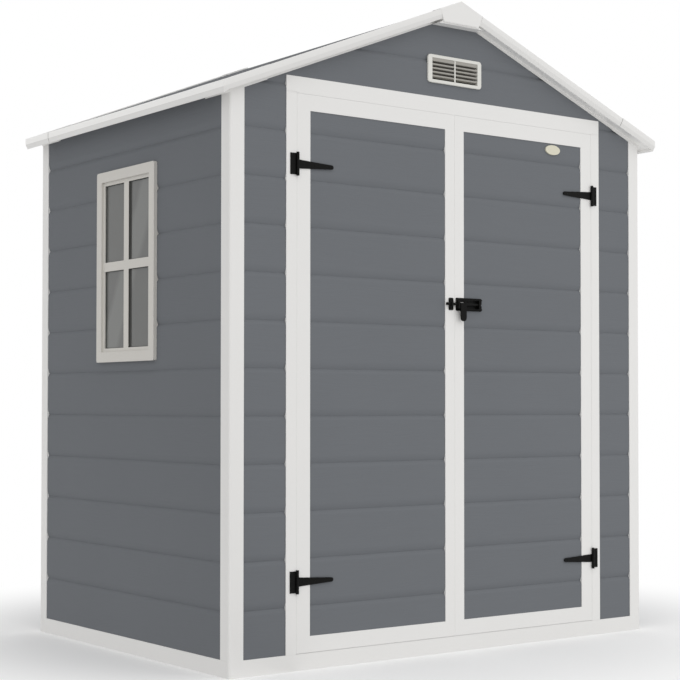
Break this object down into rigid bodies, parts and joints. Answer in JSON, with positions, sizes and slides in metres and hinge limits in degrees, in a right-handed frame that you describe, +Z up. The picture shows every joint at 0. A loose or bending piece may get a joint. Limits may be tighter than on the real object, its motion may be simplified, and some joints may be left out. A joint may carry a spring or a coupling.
{
  "type": "plastic garden shed",
  "caption": "Apex-roofed garden shed with grey lap siding, white trim, hinged double doors with a slide bolt, a side window and gable vents.",
  "frame": {"origin": "on the ground at the middle of the base", "axes": "+Z up, +X to the right across the front, +Y from the doors towards the back wall"},
  "size_m": [1.951, 1.434, 2.2722],
  "materials": {
    "siding": "matte grey resin with faint embossed wood grain",
    "trim": "satin white resin",
    "window_trim": "satin warm white resin",
    "vent_trim": "satin white resin",
    "badge": "bare cream plate",
    "roof": "matte dark grey resin",
    "floor": "matte grey resin with a raised tread pattern",
    "window_glass": "clear glazing",
    "hardware": "black painted steel"
  },
  "bodies": {
    "shed": {"floor_panel": "floor", "front_sill": "trim", "back_sill": "trim", "left_sill": "trim", "right_sill": "trim", "front_left_post": "trim", "front_right_post": "trim", "back_left_post": "trim", "back_right_post": "trim", "front_wall_left": "siding", "front_wall_right": "siding", "front_gable": "siding", "left_wall": "siding", "right_wall": "siding", "back_wall": "siding", "left_jamb": "trim", "right_jamb": "trim", "door_header": "trim", "window_frame": "window_trim", "window_glass": "window_glass", "front_vent": "vent_trim", "back_vent": "vent_trim", "left_roof_panel": "roof", "right_roof_panel": "roof", "ridge_cap": "roof", "front_ridge_end": "trim", "back_ridge_end": "trim", "left_eave_trim": "trim", "right_eave_trim": "trim", "front_left_rake_trim": "trim", "front_right_rake_trim": "trim", "back_left_rake_trim": "trim", "back_right_rake_trim": "trim", "roof_corner_caps": "trim", "hinge_plates": "hardware"},
    "left_door": {"left_door_frame": "trim", "left_door_panel": "siding", "left_hinge_straps": "hardware", "latch_keeper": "hardware"},
    "right_door": {"right_door_frame": "trim", "right_door_panel": "siding", "right_hinge_straps": "hardware", "latch_body": "hardware", "badge_plate": "badge"},
    "bolt": {"latch_bolt": "hardware"}
  },
  "joints": [
    {"name": "left_door_hinge", "type": "hinge", "parent": "shed", "child": "left_door", "pos_m": [-0.6695, -0.681, 0.966], "axis": [0, 0, -1], "range_deg": [0, 160]},
    {"name": "right_door_hinge", "type": "hinge", "parent": "shed", "child": "right_door", "pos_m": [0.6695, -0.681, 0.966], "axis": [0, 0, 1], "range_deg": [0, 160]},
    {"name": "bolt_slide", "type": "slide", "parent": "right_door", "child": "bolt", "axis": [1, 0, 0], "range_m": [0, 0.046]}
  ]
}
